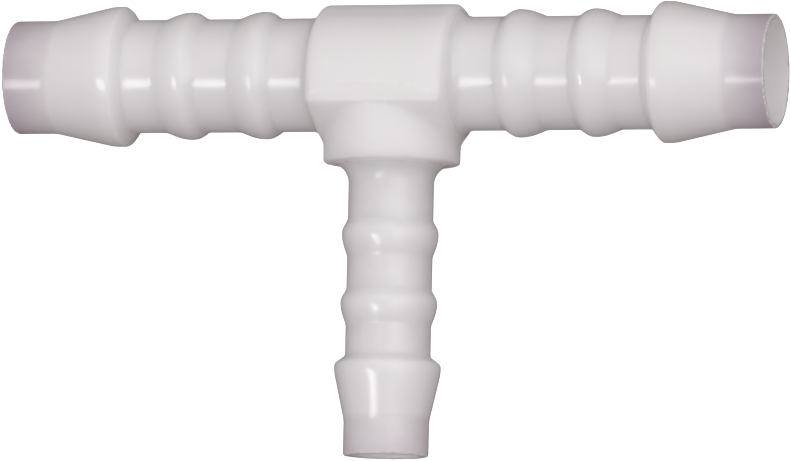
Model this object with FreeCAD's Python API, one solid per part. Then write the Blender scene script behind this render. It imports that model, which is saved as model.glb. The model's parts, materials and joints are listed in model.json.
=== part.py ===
import FreeCAD, Part
import math
import os

# Reducing tee for soft hose: a straight run with two barbed ends, and a smaller barbed branch.
# Millimetres. X runs along the run, -Y along the branch, +Z out of the hub's front pad.
# The origin is where the two axes cross. The fitting is one moulding: each node is one named
# region of it, and the regions meet face to face without overlapping.

# Spigots: every distance along an arm is measured from the origin.
RUN = dict(
    length=27.6,  # to the open end
    stem_radius=4.0,  # suits hose of 8 mm bore
    bore_radius=2.9,
    mouth_radius=3.66,
    mouth_depth=5.0,
    rim_round=0.15,
    ridge_radius=4.5,
    inner_ridge=(8.17, 9.2, 11.12),  # foot, crest, foot
    outer_ridge=(13.58, 14.61, 16.53),
    barb_radius=4.96,
    barb=(18.84, 19.68, 20.36, 24.65),  # back foot, land, land, end of the cone
)
BRANCH = dict(
    length=26.85,
    stem_radius=3.0,  # suits hose of 6 mm bore
    bore_radius=2.05,
    mouth_radius=2.4,
    mouth_depth=4.0,
    rim_round=0.12,
    ridge_radius=3.4,
    inner_ridge=(10.3, 11.2, 12.9),
    outer_ridge=(15.2, 15.95, 17.7),
    barb_radius=3.74,
    barb=(19.85, 20.5, 21.0, 24.35),
)
RIDGE_FULLNESS = 0.68  # height of a ridge's flank half way along it, as a share of its crest

# Hub: a cylinder on the run axis with a flat pad standing proud on its front and back.
HUB_RADIUS = 4.9
HUB_HALF_LENGTH = 4.92
PAD_HALF_HEIGHT = 2.45
PAD_DEPTH = 5.65  # pad face, from the run axis
PAD_TOP_ROUND = 2.4  # the edge away from the branch; the crease beside the branch stays crisp

# Plain raised panel on each pad, with a gently arched lower edge.
PANEL_DEPTH = 5.73
PANEL_MARGIN = 0.12
PANEL_TOP = 1.0
PANEL_ARCH_TOP = -1.24
PANEL_ARCH_RADIUS = 15.0

# Collar round the root of the branch.
COLLAR_RADIUS = 4.8
COLLAR_SWELL = 0.72  # how much further its front and back stand out beside the pads
COLLAR_END = 6.32
COLLAR_EDGE_ROUND = 0.2
ROOT_FILLET = 1.4

RUN_AXIS = FreeCAD.Vector(1, 0, 0)
BRANCH_AXIS = FreeCAD.Vector(0, -1, 0)
FRONT = FreeCAD.Vector(0, 0, 1)
ORIGIN = FreeCAD.Vector(0, 0, 0)


def point(along, radius):
    """A point of a half section drawn in the XY plane, with the arm along +X."""
    return FreeCAD.Vector(along, radius, 0)


def line(start, end):
    return Part.makeLine(point(*start), point(*end))


def arc(start, middle, end):
    return Part.Arc(point(*start), point(*middle), point(*end)).toShape()


def revolve(edges):
    """Spin a closed half section round the X axis."""
    face = Part.Face(Part.Wire(edges))
    return face.revolve(ORIGIN, RUN_AXIS, 360)


def polygon(points):
    """The closed outline through (along, radius) points, as edges."""
    return [line(a, b) for a, b in zip(points, points[1:] + points[:1])]


def turned(solid, direction):
    """Carry a solid made along +X onto the arm that leaves along direction."""
    rotation = FreeCAD.Rotation(RUN_AXIS, direction)
    if direction.isEqual(RUN_AXIS * -1, 1e-9):
        rotation = FreeCAD.Rotation(FRONT, 180)
    placed = solid.copy()
    placed.Placement = FreeCAD.Placement(ORIGIN, rotation)
    return placed


def quarter_point(centre, radius, degrees):
    angle = math.radians(degrees)
    return (centre[0] + radius * math.cos(angle), centre[1] + radius * math.sin(angle))


def make_stem(arm, start):
    """The plain tube of an arm from start to its open end, with a flared, rounded mouth."""
    end, outer, inner = arm["length"], arm["stem_radius"], arm["bore_radius"]
    rim = arm["rim_round"]
    mouth = (end, arm["mouth_radius"])
    throat = (end - arm["mouth_depth"], inner)
    centre = (end - rim, outer - rim)
    edges = [
        line((start, inner), (start, outer)),
        line((start, outer), (end - rim, outer)),
        arc((end - rim, outer), quarter_point(centre, rim, 45), (end, outer - rim)),
        line((end, outer - rim), mouth),
        line(mouth, throat),
        line(throat, (start, inner)),
    ]
    return revolve(edges)


def make_ridge(arm, name):
    """A low rounded ring round the stem, steep towards the hub and gentle towards the nose."""
    back, crest, front = arm[name]
    foot, top = arm["stem_radius"], arm["ridge_radius"]
    middle = foot + RIDGE_FULLNESS * (top - foot)
    steep_middle = (back + 0.4 * (crest - back), middle)
    gentle_middle = (front - 0.45 * (front - crest), middle)
    edges = [
        line((front, foot), (back, foot)),
        arc((back, foot), steep_middle, (crest, top)),
        arc((crest, top), gentle_middle, (front, foot)),
    ]
    return revolve(edges)


def make_barb(arm):
    """The large barb at the nose: a steep back, a short land and a long cone."""
    back, land_start, land_end, tip = arm["barb"]
    foot, top = arm["stem_radius"], arm["barb_radius"]
    outline = [(back, foot), (land_start, top), (land_end, top), (tip, foot)]
    return revolve(polygon(outline))


def cylinder(radius, start, end, direction):
    return Part.makeCylinder(radius, end - start, direction * start, direction)


def box(half_x, low_y, high_y, low_z, high_z):
    corner = FreeCAD.Vector(-half_x, low_y, low_z)
    return Part.makeBox(2 * half_x, high_y - low_y, high_z - low_z, corner)


def make_pad(side):
    """The flat pad on one side of the hub; both its flanks meet the cylinder as tangents."""
    height, depth, rounding = PAD_HALF_HEIGHT, PAD_DEPTH, PAD_TOP_ROUND
    corner_distance = math.hypot(height, depth)
    tilt = math.atan2(height, depth) + math.acos(HUB_RADIUS / corner_distance)
    set_back = rounding * math.tan(tilt / 2)
    flank = math.sqrt(corner_distance**2 - HUB_RADIUS**2)

    def spot(y, z):
        return FreeCAD.Vector(-HUB_HALF_LENGTH, y, side * z)

    def along_flank(distance, up=1):
        y = up * (height + distance * math.cos(tilt))
        return spot(y, depth - distance * math.sin(tilt))

    round_start = spot(height - set_back, depth)
    round_middle = spot(
        height - set_back + rounding * math.sin(tilt / 2),
        depth - rounding * (1 - math.cos(tilt / 2)),
    )
    inside = spot(0, 0)
    crease = along_flank(0, up=-1)
    edges = [
        Part.makeLine(inside, along_flank(flank, up=-1)),
        Part.makeLine(along_flank(flank, up=-1), crease),
        Part.makeLine(crease, round_start),
        Part.Arc(round_start, round_middle, along_flank(set_back)).toShape(),
        Part.makeLine(along_flank(set_back), along_flank(flank)),
        Part.makeLine(along_flank(flank), inside),
    ]
    return Part.Face(Part.Wire(edges)).extrude(RUN_AXIS * (2 * HUB_HALF_LENGTH))


def make_hub_block():
    """The round hub with its two pads, before the bores."""
    barrel = cylinder(HUB_RADIUS, -HUB_HALF_LENGTH, HUB_HALF_LENGTH, RUN_AXIS)
    return barrel.fuse(make_pad(1)).fuse(make_pad(-1)).removeSplitter()


def make_hub():
    """The hub opened by both bores."""
    run_bore = cylinder(RUN["bore_radius"], -HUB_HALF_LENGTH, HUB_HALF_LENGTH, RUN_AXIS)
    branch_bore = cylinder(BRANCH["bore_radius"], 0, HUB_RADIUS, BRANCH_AXIS)
    return make_hub_block().cut(run_bore).cut(branch_bore)


def make_swell():
    """The part of the collar that runs up to the pads: an oval there and a circle at its rim."""
    beside_pad = BRANCH_AXIS * PAD_HALF_HEIGHT
    at_rim = BRANCH_AXIS * (COLLAR_END - COLLAR_EDGE_ROUND)
    side, front = RUN_AXIS * COLLAR_RADIUS, FRONT * COLLAR_RADIUS
    swollen = FRONT * (COLLAR_RADIUS + COLLAR_SWELL)
    oval = Part.Ellipse(beside_pad + swollen, beside_pad + side, beside_pad)
    circle = Part.Circle(at_rim + front, at_rim + side, at_rim - front)
    wires = [Part.Wire([curve.toShape()]) for curve in (oval, circle)]
    inner = cylinder(BRANCH["bore_radius"], 0, COLLAR_END, BRANCH_AXIS)
    return Part.makeLoft(wires, True).cut(inner)


def make_collar():
    """The ring below the hub that carries the branch, with a fillet down to its stem."""
    stem, inner = BRANCH["stem_radius"], BRANCH["bore_radius"]
    edge, fillet = COLLAR_EDGE_ROUND, ROOT_FILLET
    edge_centre = (COLLAR_END - edge, COLLAR_RADIUS - edge)
    fillet_centre = (COLLAR_END + fillet, stem + fillet)
    edges = [
        line((COLLAR_END - edge, inner), (COLLAR_END - edge, COLLAR_RADIUS)),
        arc(
            (COLLAR_END - edge, COLLAR_RADIUS),
            quarter_point(edge_centre, edge, 45),
            (COLLAR_END, COLLAR_RADIUS - edge),
        ),
        line((COLLAR_END, COLLAR_RADIUS - edge), (COLLAR_END, stem + fillet)),
        arc(
            (COLLAR_END, stem + fillet),
            quarter_point(fillet_centre, fillet, 225),
            (COLLAR_END + fillet, stem),
        ),
        line((COLLAR_END + fillet, stem), (COLLAR_END + fillet, inner)),
        line((COLLAR_END + fillet, inner), (COLLAR_END - edge, inner)),
    ]
    ring = turned(revolve(edges), BRANCH_AXIS).fuse(make_swell())
    return ring.cut(make_hub_block())


def make_panel(side):
    """The plain raised panel on the front (side 1) or back (side -1) pad."""
    half_width = HUB_HALF_LENGTH - PANEL_MARGIN
    low, high = sorted((side * PAD_DEPTH, side * PANEL_DEPTH))
    blank = box(half_width, -PAD_HALF_HEIGHT, PANEL_TOP, low, high)
    arch_centre = FreeCAD.Vector(0, PANEL_ARCH_TOP - PANEL_ARCH_RADIUS, low)
    return blank.cut(Part.makeCylinder(PANEL_ARCH_RADIUS, high - low, arch_centre, FRONT))


def make_arm(name, arm, start, direction):
    """The four regions of one arm, by node name."""
    return {
        f"{name}_stem": turned(make_stem(arm, start), direction),
        f"{name}_inner_ridge": turned(make_ridge(arm, "inner_ridge"), direction),
        f"{name}_outer_ridge": turned(make_ridge(arm, "outer_ridge"), direction),
        f"{name}_nose_barb": turned(make_barb(arm), direction),
    }


def make_nodes():
    nodes = {
        "hub_body": make_hub(),
        "branch_collar": make_collar(),
        "front_panel": make_panel(1),
        "back_panel": make_panel(-1),
    }
    nodes.update(make_arm("left", RUN, HUB_HALF_LENGTH, RUN_AXIS * -1))
    nodes.update(make_arm("right", RUN, HUB_HALF_LENGTH, RUN_AXIS))
    nodes.update(make_arm("branch", BRANCH, COLLAR_END + ROOT_FILLET, BRANCH_AXIS))
    return nodes


def main():
    os.makedirs("parts", exist_ok=True)
    for name, shape in make_nodes().items():
        solids = shape.Solids
        if len(solids) != 1 or not shape.isValid():
            raise ValueError(f"{name} is not one valid solid")
        solids[0].exportStep(f"parts/{name}.step")
        print(name, round(solids[0].Volume, 3))


main()
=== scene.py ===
import json
import math
from itertools import combinations

import bpy
import numpy as np
from mathutils import Matrix, Vector


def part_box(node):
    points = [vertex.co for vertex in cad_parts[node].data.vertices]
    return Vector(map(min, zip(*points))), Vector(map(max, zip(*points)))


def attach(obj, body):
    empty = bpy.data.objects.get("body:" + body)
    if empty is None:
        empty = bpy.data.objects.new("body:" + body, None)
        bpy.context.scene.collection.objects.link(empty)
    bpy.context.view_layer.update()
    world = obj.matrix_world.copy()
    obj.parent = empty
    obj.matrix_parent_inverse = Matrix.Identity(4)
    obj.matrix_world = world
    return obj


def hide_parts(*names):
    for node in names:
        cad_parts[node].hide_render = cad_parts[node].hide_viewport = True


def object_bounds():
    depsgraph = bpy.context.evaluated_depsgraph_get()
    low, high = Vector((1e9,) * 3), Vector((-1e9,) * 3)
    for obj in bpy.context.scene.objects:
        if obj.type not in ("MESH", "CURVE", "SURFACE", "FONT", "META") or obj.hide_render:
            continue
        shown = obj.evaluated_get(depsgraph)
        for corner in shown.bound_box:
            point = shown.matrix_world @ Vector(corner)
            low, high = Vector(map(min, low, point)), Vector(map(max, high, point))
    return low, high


# The looks of a barbed reducing tee, moulded in milky natural plastic.
# Blender works in metres; the shape below is worked out in millimetres, as in the CAD source.

MM = 0.001

# Rounds, flanks and edges that the CAD boxes don't give, in millimetres.
RIDGE_CREST = 0.36  # where a ridge is highest, from its hub-side foot, as a share of its width
RIDGE_FALLOFF = 1.3  # power that shapes a ridge's flanks
BARB_LAND = (0.12, 0.257)  # where the land starts and ends, as shares of the barb's length
BARB_ROUNDS = (0.12, 0.16, 0.3, 0.25)  # at the back foot, the land's two ends and the cone's end
RUN_MOUTH = (5.0, 3.66)  # depth of the flare, and the radius at its open end
BRANCH_MOUTH = (4.0, 2.4)
MOUTH_ROUND = 0.8
RIM_ROUND = 0.14
BORE_ROUND = 0.12
HUB_EDGE_ROUND = 0.45
HUB_FILLET = 0.9
PAD_HALF_HEIGHT = 2.45  # from the run axis to the crease beside the branch
PAD_TOP_ROUND = 2.4
PAD_EDGE_ROUND = 0.14
COLLAR_EDGE_ROUND = 0.22
COLLAR_SWELL = 0.72  # how far its front and back stand out further beside the pads
COLLAR_FILLET = 0.35
ROOT_FILLET = 1.4
PANEL_ARCH_TOP = -1.24
PANEL_ARCH_RADIUS = 15.0
PANEL_STEP = 0.16  # width of the slope along the panel's arched edge
SEAM_HEIGHT = 0.018
SEAM_WIDTH = 0.11

# Table of an arm's radius along its length, and how many millimetres it runs past the end.
TABLE_STEPS = 4000
TABLE_PAST_END = 2

# Mesh of the moulding: grid steps, and how far past the object the grid reaches.
COARSE_STEP = 0.26
FINE_STEP = 0.115
MARGIN = 0.4
NORMAL_REACH = 0.01  # how far to each side of a point its slope is sampled
SETTLE_ROUNDS = 3

# Wall thickness is measured inwards, up to WALL_MOST millimetres.
WALL_START = 0.05
WALL_STEPS = 24
WALL_MOST = 2.4

# The plastic: colour by share of WALL_MOST, the thin end darker and pinker as painted shade for the
# light lost through thin walls, the thick end the plastic's own colour; the bores painted near-white
# as painted light; and how deep light spreads in thin and thick walls.
THIN_WALL_PAINTED_SHADE = (
    (0.12, (0.52, 0.46, 0.52)),
    (0.42, (0.885, 0.88, 0.89)),
    (0.85, (0.965, 0.968, 0.966)),
)
# Bore walls painted near-white: painted light that brightens the insides of the bores.
BORE_PAINTED_LIGHT = (0.985, 0.985, 0.985)
THIN_WALL, THICK_WALL = 0.1, 0.8
THIN_SPREAD, THICK_SPREAD = 0.4 * MM, 3.0 * MM
COLOUR_DRIFT = 0.03
POLISHED_ROUGHNESS = (0.16, 0.24)
MATTE_ROUGHNESS = 0.3  # added to it where the skin is etched
MATTE_EDGE = 0.5  # millimetres over which the hub's matte skin gives way to a polished one
POLISHED_EDGE = 0.14  # the skin is polished this near to the crease and the panel's arched edge
SKIN_BUMP = 0.02 * MM
NOISE_LOW, NOISE_HIGH = 0.3, 0.7
REFRACTIVE_INDEX = 1.5

# Light of the surround, from straight below to straight above.
BELOW_TO_ABOVE = (
    (0.3, (0.17, 0.125, 0.13)),
    (0.6, (0.38, 0.35, 0.355)),
)

FLOOR_HALF = 4.0
FLOOR_GLOW = 0.85

# Camera: directions in degrees from the hub's front, distances in metres.
CAMERA_YAW = 15.67
CAMERA_PITCH = -5.29
CAMERA_ROLL = -1.21
CAMERA_DISTANCE = 0.7292
CAMERA_AIM = (0.00013, -0.01094)
CAMERA_LENS = 473.4
SENSOR_WIDTH = 36.0


def size_of(node):
    """Lowest and highest corner of a CAD node, in millimetres."""
    low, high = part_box(node)
    return Vector(low) / MM, Vector(high) / MM


def ramp(distance, rounding):
    """max(distance, 0) with its corner rounded over +-rounding."""
    rounded = (distance + rounding) ** 2 / (4 * rounding)
    return np.where(np.abs(distance) < rounding, rounded, np.maximum(distance, 0))


def smooth_step(share):
    """0 below share 0, 1 above share 1, with a smooth rise between."""
    share = np.clip(share, 0, 1)
    return share**2 * (3 - 2 * share)


def rounded_polyline(along, points, rounds):
    """Height of the line through (along, height) points, with each inner corner rounded."""
    slopes = [(b[1] - a[1]) / (b[0] - a[0]) for a, b in zip(points, points[1:])]
    height = points[0][1] + slopes[0] * (along - points[0][0])
    for corner, rounding, before, after in zip(points[1:-1], rounds, slopes, slopes[1:]):
        height = height + (after - before) * ramp(along - corner[0], rounding)
    return height


def both(a, b, rounding):
    """Distance to what is in a and in b, with the edge between them rounded."""
    over_a, over_b = np.maximum(a + rounding, 0), np.maximum(b + rounding, 0)
    return np.minimum(np.maximum(a, b), -rounding) + np.hypot(over_a, over_b)


def either(a, b, fillet):
    """Distance to what is in a or in b, with a fillet where they meet."""
    under_a, under_b = np.maximum(fillet - a, 0), np.maximum(fillet - b, 0)
    return np.maximum(np.minimum(a, b), fillet) - np.hypot(under_a, under_b)


class Arm:
    """One barbed spigot: its outer and inner radius at each distance from the hub's centre."""

    def __init__(self, name, axis, bore_radius, mouth):
        def span(node):
            low, high = size_of(f"{name}_{node}")
            ends = sorted((abs(low[axis]), abs(high[axis])))
            return ends[0], ends[1], high.z

        _, self.length, self.stem_radius = span("stem")
        self.ridges = [span("inner_ridge"), span("outer_ridge")]
        self.barb = span("nose_barb")
        self.bore_radius = bore_radius
        self.mouth = mouth
        self.table = np.linspace(0, self.length + TABLE_PAST_END, TABLE_STEPS)
        self.outer_table = self.outline(self.table)
        self.inner_table = self.bore(self.table)

    def outline(self, along):
        radius = np.zeros_like(along)
        for back, front, top in self.ridges:
            crest = back + RIDGE_CREST * (front - back)
            flank = np.where(along < crest, crest - back, front - crest)
            share = np.clip(np.abs(along - crest) / flank, 0, 1)
            radius += (top - self.stem_radius) * (1 - share**2) ** RIDGE_FALLOFF
        back, tip, top = self.barb
        land_start, land_end = (back + share * (tip - back) for share in BARB_LAND)
        foot = self.stem_radius
        points = [
            (0, foot), (back, foot), (land_start, top), (land_end, top), (tip, foot),
            (self.length, foot),
        ]
        return radius + rounded_polyline(along, points, BARB_ROUNDS)

    def bore(self, along):
        depth, mouth_radius = self.mouth
        throat = (self.length - depth, self.bore_radius)
        points = [(0, self.bore_radius), throat, (self.length, mouth_radius)]
        return rounded_polyline(along, points, [MOUTH_ROUND])

    def wall(self, along, radius, table):
        """Distance to a wall of revolution whose radius along the arm is in the table."""
        slope = np.gradient(table, self.table)
        there = np.interp(along, self.table, table)
        return (radius - there) / np.hypot(1, np.interp(along, self.table, slope))

    def outside(self, along, radius):
        return both(self.wall(along, radius, self.outer_table), along - self.length, RIM_ROUND)

    def inside(self, along, radius):
        return self.wall(along, radius, self.inner_table)


def make_distances(record):
    """Distance from points in millimetres to the moulding's surface, and to its bores' walls."""
    bores = {m["name"]: m["dims"]["r_mm"] for m in record["mounts"] if m["kind"] == "bore"}
    run = Arm("right", 0, bores["run_bore"], RUN_MOUTH)
    branch = Arm("branch", 1, bores["branch_bore"], BRANCH_MOUTH)
    hub = size_of("hub_body")[1]
    collar_low, collar_high = size_of("branch_collar")
    panel = size_of("front_panel")[1]
    collar_end = -collar_low.y - ROOT_FILLET
    barrel_radius, pad_depth = hub.y, hub.z
    corner = math.hypot(PAD_HALF_HEIGHT, pad_depth)
    tilt = math.atan2(PAD_HALF_HEIGHT, pad_depth) + math.acos(barrel_radius / corner)
    flank_y, flank_z = math.sin(tilt), math.cos(tilt)
    arch_centre = PANEL_ARCH_TOP - PANEL_ARCH_RADIUS

    def hollow(points):
        x, y, z = points.T
        along_branch = np.maximum(branch.inside(-y, np.hypot(x, z)), y)
        return np.minimum(run.inside(np.abs(x), np.hypot(y, z)), along_branch)

    def distance(points):
        x, y, z = points.T
        along_run, to_run = np.abs(x), np.hypot(y, z)
        to_branch, out = np.hypot(x, z), np.abs(z)
        ends = along_run - hub.x
        barrel = to_run - barrel_radius
        above_arch = np.hypot(x, y - arch_centre) - PANEL_ARCH_RADIUS
        up = np.clip((y - PANEL_ARCH_TOP) / (panel.y - PANEL_ARCH_TOP), 0, 1)
        # the panel's step is full at the arch and dies out towards the pad's top and ends
        fade = (1 - up**2) ** 2 * (1 - np.clip(along_run / panel.x, 0, 1) ** 6)
        lift = (panel.z - pad_depth) * fade * smooth_step(above_arch / PANEL_STEP)
        upper_flank = flank_y * y + flank_z * out - barrel_radius
        lower_flank = flank_z * out - flank_y * y - barrel_radius
        pad = both(out - pad_depth - lift, upper_flank, PAD_TOP_ROUND)
        pad = both(pad, lower_flank, PAD_EDGE_ROUND)
        pad = np.maximum(pad, flank_z * np.abs(y) - flank_y * out)
        body = both(np.minimum(barrel, pad), ends, HUB_EDGE_ROUND)
        beside_pad = np.clip((collar_end + y) / (collar_end - PAD_HALF_HEIGHT), 0, 1)
        stretch = 1 + COLLAR_SWELL * beside_pad / collar_high.x
        boss = np.hypot(x, z / stretch) - collar_high.x
        collar = both(boss, -y - collar_end, COLLAR_EDGE_ROUND)
        stem = branch.outside(-y, to_branch)
        below = np.maximum(either(collar, stem, ROOT_FILLET), y)
        body = either(body, below, COLLAR_FILLET * np.clip(-y - PAD_HALF_HEIGHT, 0, 1))
        body = either(body, run.outside(along_run, to_run), HUB_FILLET)
        body = body - SEAM_HEIGHT * np.exp(-((z / SEAM_WIDTH) ** 2))
        return both(body, -hollow(points), BORE_ROUND)

    return distance, hollow


def gradient(distance, points):
    """Direction in which the distance grows fastest, at each point."""
    slopes = []
    for axis in range(3):
        shift = np.zeros(3)
        shift[axis] = NORMAL_REACH
        slopes.append(distance(points + shift) - distance(points - shift))
    grown = np.stack(slopes, axis=1) / (2 * NORMAL_REACH)
    return grown / np.maximum(np.linalg.norm(grown, axis=1, keepdims=True), 1e-9)


def settle(distance, points):
    """Move points onto the surface."""
    for _ in range(SETTLE_ROUNDS):
        points = points - gradient(distance, points) * distance(points)[:, None]
    return points


def around(place, before, after):
    """The stretch of an axis from before to after a place."""
    return place - before, place + after


def fine_bands():
    """Stretches of each axis, in millimetres, that hold small edges and take the fine step."""
    hub = size_of("hub_body")[1]
    collar_low = size_of("branch_collar")[0]
    panel_high = size_of("front_panel")[1]
    stem_end = size_of("right_stem")[1].x
    branch_end = size_of("branch_stem")[0].y
    run_barb = size_of("right_nose_barb")[0].x
    branch_barb = size_of("branch_nose_barb")[1].y
    collar_end = collar_low.y + ROOT_FILLET
    right = [around(hub.x, 0.5, 0.5), around(run_barb, 0.1, 1), around(stem_end, 0.5, 0)]
    front = (hub.z - 0.5, panel_high.z + 0.1)
    along_branch = [
        (-PAD_HALF_HEIGHT - 0.5, PANEL_ARCH_TOP + 0.1),
        around(collar_end, 0.1, 0.4),
        around(branch_barb, 0.8, 0.1),
        around(branch_end, 0, 0.5),
    ]
    return [
        right + [(-b, -a) for a, b in right],
        along_branch,
        [front, (-front[1], -front[0]), around(0, 0.25, 0.25)],
    ]


def graded(low, high, bands):
    """Grid lines from low to high, closer together inside the bands."""
    lines = [low]
    while lines[-1] < high:
        fine = any(a <= lines[-1] <= b for a, b in bands)
        lines.append(lines[-1] + (FINE_STEP if fine else COARSE_STEP))
    return np.array(lines)


def sample(distance, axes):
    """The distance on a grid, one slab at a time."""
    field = np.empty([len(a) for a in axes], np.float32)
    yy, zz = np.meshgrid(axes[1], axes[2], indexing="ij")
    for i, x in enumerate(axes[0]):
        points = np.stack([np.full(yy.size, x), yy.ravel(), zz.ravel()], axis=1)
        field[i] = distance(points).reshape(yy.shape)
    return field


def surface_net(field, axes):
    """Quads over the zero surface of a sampled field, with one vertex in each cell it crosses."""
    corners = np.array([(i, j, k) for i in (0, 1) for j in (0, 1) for k in (0, 1)])
    shape = np.array(field.shape) - 1
    inside = field < 0
    count = np.zeros(shape, np.int8)
    for i, j, k in corners:
        count += inside[i : i + shape[0], j : j + shape[1], k : k + shape[2]]
    cells = np.argwhere((count > 0) & (count < len(corners)))
    values = np.stack([field[tuple((cells + c).T)] for c in corners], axis=1)
    total, crossings = np.zeros((len(cells), 3)), np.zeros(len(cells))
    for a, b in combinations(range(len(corners)), 2):
        if np.abs(corners[a] - corners[b]).sum() != 1:
            continue
        crossed = (values[:, a] < 0) != (values[:, b] < 0)
        share = values[crossed, a] / (values[crossed, a] - values[crossed, b])
        total[crossed] += corners[a] + share[:, None] * (corners[b] - corners[a])
        crossings[crossed] += 1
    shares = total / crossings[:, None]
    vertices = np.empty_like(shares)
    for axis, lines in enumerate(axes):
        start = lines[cells[:, axis]]
        vertices[:, axis] = start + shares[:, axis] * (lines[cells[:, axis] + 1] - start)
    index = np.full(shape, -1)
    index[tuple(cells.T)] = np.arange(len(cells))
    quads = []
    step = np.eye(3, dtype=int)
    for axis in range(3):
        upper = np.roll(inside, -1, axis)
        changed = np.argwhere(inside != upper)
        changed = changed[changed[:, axis] < field.shape[axis] - 1]
        u, v = step[(axis + 1) % 3], step[(axis + 2) % 3]
        ring = np.stack([index[tuple((changed - s).T)] for s in (u + v, v, 0 * u, u)], axis=1)
        outward = inside[tuple(changed.T)]
        quads.append(np.where(outward[:, None], ring, ring[:, ::-1]))
    return vertices, np.concatenate(quads)


def wall_thickness(distance, points, normals):
    """How much plastic lies straight below each point of the surface, up to WALL_MOST."""
    depth = np.full(len(points), WALL_START)
    for _ in range(WALL_STEPS):
        room = -distance(points - normals * depth[:, None])
        depth = np.minimum(depth + np.maximum(room, 0), WALL_MOST)
    return depth


def matte_skin(points):
    """1 on the etched skin of the hub and collar, 0 on the spigots and along the pad's edges."""
    x, y, _ = points.T
    hub_end = size_of("hub_body")[1].x
    collar_end = size_of("branch_collar")[0].y + ROOT_FILLET
    past_hub = np.maximum(np.abs(x) - hub_end, collar_end - y)
    above_arch = np.hypot(x, y - PANEL_ARCH_TOP + PANEL_ARCH_RADIUS) - PANEL_ARCH_RADIUS
    off_edges = np.minimum(np.abs(y + PAD_HALF_HEIGHT), np.abs(above_arch - PANEL_STEP / 2))
    on_pad = np.abs(x) < hub_end - HUB_EDGE_ROUND
    worn = on_pad * (1 - smooth_step(off_edges / POLISHED_EDGE))
    return (1 - smooth_step(past_hub / MATTE_EDGE + 0.5)) * (1 - worn)


def make_moulding(distance, hollow, low, high):
    """The whole fitting as one closed, smooth mesh, with what its material needs as attributes."""
    bands = fine_bands()
    axes = [
        graded(a / MM - MARGIN, b / MM + MARGIN, band) for a, b, band in zip(low, high, bands)
    ]
    vertices, quads = surface_net(sample(distance, axes), axes)
    vertices = settle(distance, vertices)
    normals = gradient(distance, vertices)
    mesh = bpy.data.meshes.new("tee_moulding")
    mesh.from_pydata(vertices * MM, [], quads)
    mesh.shade_smooth()
    mesh.normals_split_custom_set_from_vertices(normals)
    wall = wall_thickness(distance, vertices, normals) / WALL_MOST
    bore = np.clip(1 - hollow(vertices) / BORE_ROUND, 0, 1)
    for name, values in (("wall", wall), ("bore", bore), ("matte", matte_skin(vertices))):
        mesh.attributes.new(name, "FLOAT", "POINT").data.foreach_set("value", values)
    piece = bpy.data.objects.new("tee_moulding", mesh)
    bpy.context.scene.collection.objects.link(piece)
    return piece


class Nodes:
    """A short way to add and join shader nodes."""

    def __init__(self, material):
        material.use_nodes = True
        self.tree = material.node_tree
        self.shader = self.tree.nodes["Principled BSDF"]

    def add(self, kind, inputs=(), **settings):
        node = self.tree.nodes.new(kind)
        for name, value in settings.items():
            setattr(node, name, value)
        for name, value in dict(inputs).items():
            if isinstance(value, bpy.types.NodeSocket):
                self.tree.links.new(value, node.inputs[name])
            else:
                node.inputs[name].default_value = value
        return node

    def attribute(self, name):
        return self.add("ShaderNodeAttribute", attribute_name=name).outputs["Fac"]

    def noise(self, place, scale, detail, roughness):
        """Fine noise whose features are scale to the metre."""
        inputs = {"Vector": place, "Scale": scale, "Detail": detail, "Roughness": roughness}
        return self.add("ShaderNodeTexNoise", inputs).outputs["Fac"]

    def spread(self, value, from_range, to_range):
        """A value carried from one range to another, and held at that range's ends."""
        names = ("From Min", "From Max", "To Min", "To Max")
        inputs = {"Value": value, **dict(zip(names, (*from_range, *to_range)))}
        return self.add("ShaderNodeMapRange", inputs).outputs["Result"]

    def join(self, socket, name):
        self.tree.links.new(socket, self.shader.inputs[name])


def ramp_to(ramp, stops):
    """Set a colour ramp to the (position, colour) stops."""
    for position, colour in stops[2:]:
        ramp.elements.new(position)
    for element, (position, colour) in zip(ramp.elements, stops):
        element.position = position
        element.color = (*colour, 1)


def milky_plastic():
    """Uncoloured plastic: light soaks in and spreads, under a polished or etched skin; its base
    colour holds painted shade on thin walls and painted light in the bores.
    """
    material = bpy.data.materials.new("natural_plastic")
    nodes = Nodes(material)
    place = nodes.add("ShaderNodeTexCoord").outputs["Object"]
    wall, bore, matte = (nodes.attribute(name) for name in ("wall", "bore", "matte"))
    noise_range = (NOISE_LOW, NOISE_HIGH)

    cloud = nodes.noise(place, 260, 3, 0.5)
    drift = nodes.spread(cloud, noise_range, (-COLOUR_DRIFT, COLOUR_DRIFT))
    depth = nodes.add("ShaderNodeMath", {0: wall, 1: drift}, operation="ADD")
    # Outer colour by wall thickness: painted shade, darker and pinker where the walls are thin.
    outer = nodes.add("ShaderNodeValToRGB", {"Fac": depth.outputs["Value"]})
    ramp_to(outer.color_ramp, THIN_WALL_PAINTED_SHADE)
    # The bores take the near-white painted light in place of the thin-wall painted shade.
    colours = {0: bore, 6: outer.outputs["Color"], 7: (*BORE_PAINTED_LIGHT, 1)}
    colour = nodes.add("ShaderNodeMix", colours, data_type="RGBA")
    nodes.join(colour.outputs[2], "Base Color")

    polished = nodes.spread(nodes.noise(place, 900, 4, 0.6), noise_range, POLISHED_ROUGHNESS)
    etching = {0: matte, 1: MATTE_ROUGHNESS, 2: polished}
    etched = nodes.add("ShaderNodeMath", etching, operation="MULTIPLY_ADD")
    nodes.join(etched.outputs["Value"], "Roughness")

    skin = nodes.noise(place, 1500, 3, 0.55)
    bump = nodes.add("ShaderNodeBump", {"Height": skin, "Strength": 0.25, "Distance": SKIN_BUMP})
    nodes.join(bump.outputs["Normal"], "Normal")

    shader = nodes.shader
    shader.subsurface_method = "RANDOM_WALK"
    shader.inputs["Subsurface Weight"].default_value = 1.0
    shader.inputs["Subsurface Radius"].default_value = (1.0, 1.0, 1.0)
    shader.inputs["IOR"].default_value = REFRACTIVE_INDEX
    spread = nodes.spread(wall, (THIN_WALL, THICK_WALL), (THIN_SPREAD, THICK_SPREAD))
    nodes.join(spread, "Subsurface Scale")
    return material


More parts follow.
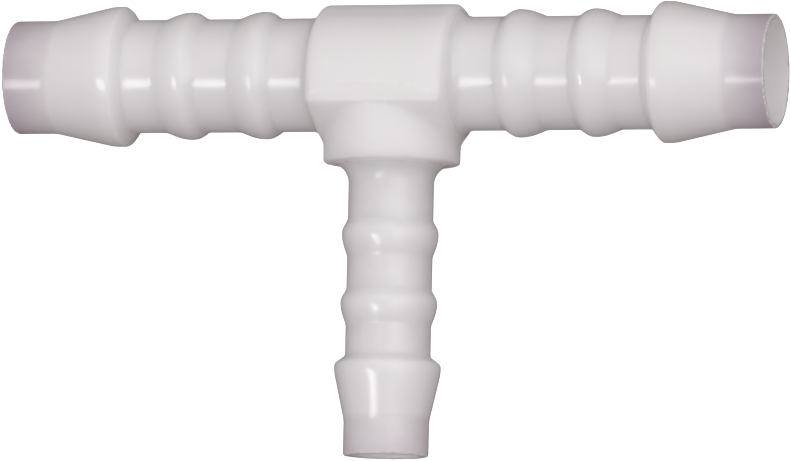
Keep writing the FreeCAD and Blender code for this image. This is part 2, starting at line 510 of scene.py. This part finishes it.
def pale_floor(level):
    """A plain pale floor, not part of the object; only the camera sees it."""
    material = bpy.data.materials.new("pale_floor")
    nodes = Nodes(material)
    shader = nodes.shader
    shader.inputs["Base Color"].default_value = (0.95, 0.95, 0.95, 1)
    shader.inputs["Roughness"].default_value = 0.9
    shader.inputs["Emission Color"].default_value = (1, 1, 1, 1)
    shader.inputs["Emission Strength"].default_value = FLOOR_GLOW
    half = FLOOR_HALF
    mesh = bpy.data.meshes.new("floor")
    corners = [(-half, -half, level), (half, -half, level), (half, half, level), (-half, half, level)]
    mesh.from_pydata(corners, [], [(0, 1, 2, 3)])
    mesh.materials.append(material)
    floor = bpy.data.objects.new("floor", mesh)
    floor.visible_diffuse = False
    floor.visible_glossy = False
    floor.visible_shadow = False
    bpy.context.scene.collection.objects.link(floor)


def soft_light(name, direction, distance, width, height, power):
    """A soft box that faces the object from a direction, at a distance in metres."""
    lamp = bpy.data.lights.new(name, "AREA")
    lamp.shape = "RECTANGLE"
    lamp.size, lamp.size_y = width, height
    lamp.energy = power
    holder = bpy.data.objects.new(name, lamp)
    towards = Vector(direction).normalized()
    holder.location = towards * distance
    holder.rotation_euler = towards.to_track_quat("Z", "Y").to_euler()
    holder.visible_camera = False
    bpy.context.scene.collection.objects.link(holder)


def make_light():
    """Plain studio light: key on the left, soft light in front, wide box above, dim surround."""
    soft_light("key", (-0.335, -0.315, 0.888), 0.8, 0.32, 0.16, 1.2)
    soft_light("front", (0.6, 0.1, 0.8), 0.8, 0.6, 0.6, 1.3)
    soft_light("overhead", (0.437, 0.485, 0.757), 1.3, 3.4, 3.0, 11.5)
    world = bpy.data.worlds.new("surround")
    bpy.context.scene.world = world
    world.use_nodes = True
    tree = world.node_tree
    towards = tree.nodes.new("ShaderNodeTexCoord").outputs["Generated"]
    split = tree.nodes.new("ShaderNodeSeparateXYZ")
    shade = tree.nodes.new("ShaderNodeValToRGB")
    height = tree.nodes.new("ShaderNodeMapRange")
    height.inputs["From Min"].default_value = -1
    tree.links.new(towards, split.inputs["Vector"])
    tree.links.new(split.outputs["Z"], height.inputs["Value"])
    tree.links.new(height.outputs["Result"], shade.inputs["Fac"])
    tree.links.new(shade.outputs["Color"], tree.nodes["Background"].inputs["Color"])
    ramp_to(shade.color_ramp, BELOW_TO_ABOVE)


def make_camera():
    """The camera, turned from the hub's front by yaw, pitch and roll."""
    yaw, pitch, roll = (math.radians(a) for a in (CAMERA_YAW, CAMERA_PITCH, CAMERA_ROLL))
    about_branch = Matrix.Rotation(-yaw, 3, "Y")
    about_run = Matrix.Rotation(pitch, 3, "X")
    about_view = Matrix.Rotation(roll, 3, "Z")
    to_camera = about_view @ about_run @ about_branch
    facing = to_camera.transposed()
    place = facing @ Vector((CAMERA_AIM[0], CAMERA_AIM[1], CAMERA_DISTANCE))
    camera = bpy.data.cameras.new("camera")
    camera.lens = CAMERA_LENS
    camera.sensor_width = SENSOR_WIDTH
    camera.clip_start, camera.clip_end = 0.01, 20
    holder = bpy.data.objects.new("camera", camera)
    holder.matrix_world = Matrix.Translation(place) @ facing.to_4x4()
    bpy.context.scene.collection.objects.link(holder)
    bpy.context.scene.camera = holder


def corners(box):
    return [[round(float(v), 6) for v in corner] for corner in box]


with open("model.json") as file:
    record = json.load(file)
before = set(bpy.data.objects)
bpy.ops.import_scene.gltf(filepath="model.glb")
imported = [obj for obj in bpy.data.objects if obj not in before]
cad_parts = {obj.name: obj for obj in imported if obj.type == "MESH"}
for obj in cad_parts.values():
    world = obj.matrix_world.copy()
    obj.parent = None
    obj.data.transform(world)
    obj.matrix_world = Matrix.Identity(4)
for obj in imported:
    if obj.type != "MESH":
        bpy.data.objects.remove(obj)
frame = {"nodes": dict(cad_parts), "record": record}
cad_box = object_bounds()
bpy.context.scene.view_settings.view_transform = "Standard"
make_camera()
make_light()
pale_floor(cad_box[0].z)
moulding = make_moulding(*make_distances(frame["record"]), *cad_box)
moulding.data.materials.append(milky_plastic())
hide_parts(*frame["nodes"])
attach(moulding, "root")
